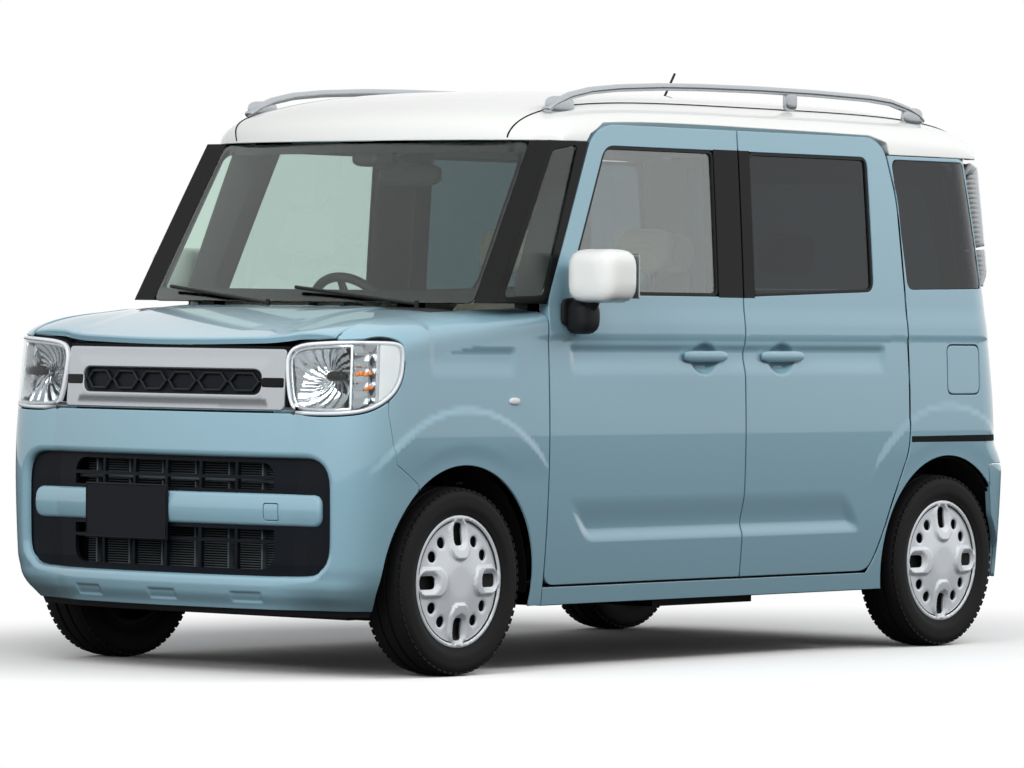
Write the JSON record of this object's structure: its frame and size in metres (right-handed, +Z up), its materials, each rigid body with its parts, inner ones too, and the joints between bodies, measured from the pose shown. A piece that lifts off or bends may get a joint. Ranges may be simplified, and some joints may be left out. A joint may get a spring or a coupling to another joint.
{
  "type": "kei car",
  "caption": "Small tall-bodied town car with hinged front doors, bonnet and tailgate, sliding rear doors, steered front wheels, roof rails and a furnished hollow cabin.",
  "frame": {"origin": "on the ground under the middle of the body", "axes": "+X forward, +Y to the car's left, +Z up"},
  "size_m": [3.393, 1.876, 1.8573],
  "materials": {
    "paint": "gloss pale grey-teal",
    "roof_paint": "gloss ivory",
    "dark_trim": "matte black",
    "clear_glass": "clear",
    "dark_glass": "tinted",
    "lamp": "clear over silver",
    "tail_lamp": "clear over red",
    "silver": "satin silver",
    "chassis": "matte",
    "engine": "matte",
    "tyre": "matte",
    "cover": "satin",
    "cloth": "woven",
    "inner_trim": "matte",
    "plate": "matte blank",
    "floor": "matte"
  },
  "bodies": {
    "body": {"floor_pan": "floor", "body_sides": "paint", "roof_panel": "roof_paint", "front_structure": "chassis", "engine_block": "engine", "radiator": "chassis", "front_suspension": "chassis", "rear_axle": "chassis", "exhaust": "engine", "fuel_tank": "floor", "wheel_liners": "dark_trim", "front_bumper": "paint", "grille_inserts": "dark_trim", "number_plate": "plate", "grille_panel": "silver", "headlamps": "lamp", "front_wings": "paint", "windscreen": "clear_glass", "cowl_panel": "dark_trim", "wipers": "dark_trim", "sliding_door_left": "paint", "sliding_door_right": "paint", "side_glass": "dark_glass", "tail_lamps": "tail_lamp", "rear_bumper": "paint", "roof_rails": "silver", "antenna": "dark_trim", "dashboard": "inner_trim", "front_seats": "cloth", "rear_seat": "cloth"},
    "bonnet": {"bonnet": "paint"},
    "door_left": {"front_door_left": "paint", "door_glass_left": "clear_glass", "mirror_left": "roof_paint"},
    "door_right": {"front_door_right": "paint", "door_glass_right": "clear_glass", "mirror_right": "roof_paint"},
    "tailgate": {"tailgate": "paint", "tailgate_glass": "dark_glass"},
    "fuel_lid": {"fuel_lid": "paint"},
    "steering_wheel": {"steering_wheel": "inner_trim"},
    "knuckle_left": {"knuckle_left": "chassis"},
    "knuckle_right": {"knuckle_right": "chassis"},
    "wheel_front_left": {"tyre_front_left": "tyre", "wheel_front_left": "cover"},
    "wheel_front_right": {"tyre_front_right": "tyre", "wheel_front_right": "cover"},
    "wheel_rear_left": {"tyre_rear_left": "tyre", "wheel_rear_left": "cover"},
    "wheel_rear_right": {"tyre_rear_right": "tyre", "wheel_rear_right": "cover"}
  },
  "joints": [
    {"name": "door_left", "type": "hinge", "parent": "body", "child": "door_left", "pos_m": [0.8115, 0.7195, 0.71], "axis": [0, 0, -1], "range_deg": [0, 65]},
    {"name": "door_right", "type": "hinge", "parent": "body", "child": "door_right", "pos_m": [0.8115, -0.7195, 0.71], "axis": [0, 0, 1], "range_deg": [0, 65]},
    {"name": "bonnet", "type": "hinge", "parent": "body", "child": "bonnet", "pos_m": [1.1355, 0, 1.06561], "axis": [0, -1, 0], "range_deg": [0, 40]},
    {"name": "tailgate", "type": "hinge", "parent": "body", "child": "tailgate", "pos_m": [-1.55682, 0, 1.608], "axis": [0, 1, 0], "range_deg": [0, 80]},
    {"name": "fuel_lid", "type": "hinge", "parent": "body", "child": "fuel_lid", "pos_m": [-1.2645, 0.72081, 0.9], "axis": [0, 0, -1], "range_deg": [0, 85]},
    {"name": "steer_left", "type": "hinge", "parent": "body", "child": "knuckle_left", "pos_m": [1.1775, 0.602, 0.162], "axis": [0, -0.1462, 0.9892], "range_deg": [-34, 34]},
    {"name": "steer_right", "type": "hinge", "parent": "body", "child": "knuckle_right", "pos_m": [1.1775, -0.602, 0.162], "axis": [0, 0.1462, 0.9892], "range_deg": [-34, 34]},
    {"name": "steering_wheel", "type": "hinge", "parent": "body", "child": "steering_wheel", "pos_m": [0.44, -0.33, 1.03], "axis": [-0.8829, 0, 0.4695], "range_deg": [-510, 510]},
    {"name": "wheel_front_left", "type": "hinge", "parent": "knuckle_left", "child": "wheel_front_left", "pos_m": [1.1775, 0.6475, 0.2785], "axis": [0, 1, 0], "continuous": true},
    {"name": "wheel_front_right", "type": "hinge", "parent": "knuckle_right", "child": "wheel_front_right", "pos_m": [1.1775, -0.6475, 0.2785], "axis": [0, 1, 0], "continuous": true},
    {"name": "wheel_rear_left", "type": "hinge", "parent": "body", "child": "wheel_rear_left", "pos_m": [-1.2825, 0.65, 0.2785], "axis": [0, 1, 0], "continuous": true},
    {"name": "wheel_rear_right", "type": "hinge", "parent": "body", "child": "wheel_rear_right", "pos_m": [-1.2825, -0.65, 0.2785], "axis": [0, 1, 0], "continuous": true}
  ],
  "couplings": [
    {"joint": "steer_right", "follows": "steer_left", "ratio": 1},
    {"joint": "steering_wheel", "follows": "steer_left", "ratio": 15}
  ]
}
